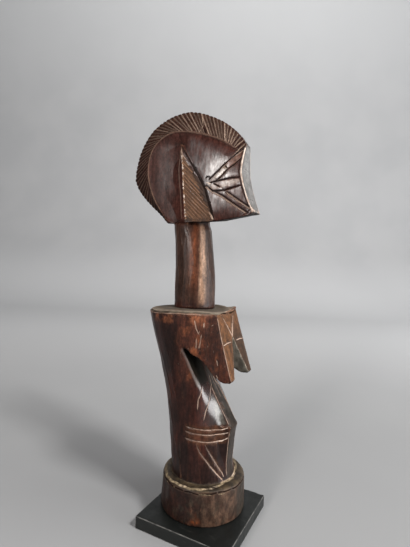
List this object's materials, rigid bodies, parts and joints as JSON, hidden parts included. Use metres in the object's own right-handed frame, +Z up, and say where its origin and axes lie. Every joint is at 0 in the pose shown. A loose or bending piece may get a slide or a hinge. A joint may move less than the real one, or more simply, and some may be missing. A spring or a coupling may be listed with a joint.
{
  "type": "carved wooden doll",
  "caption": "Carved wooden doll on a round foot, with a leaning columnar body, hanging breasts, a tall neck and a crested disc-shaped head, on a small square plate.",
  "frame": {"origin": "centre of the square plate's underside", "axes": "+Z up along the doll, -Y the way the doll faces, -X the doll's right"},
  "size_m": [0.0729, 0.1148, 0.3089],
  "materials": {
    "carved_wood": "very dark brown handled wood, glossy on the high places, with pale dust in the cuts",
    "black_plate": "black satin paint, worn on the edges"
  },
  "bodies": {
    "root": {"doll": "carved_wood", "display_base": "black_plate"}
  },
  "joints": []
}
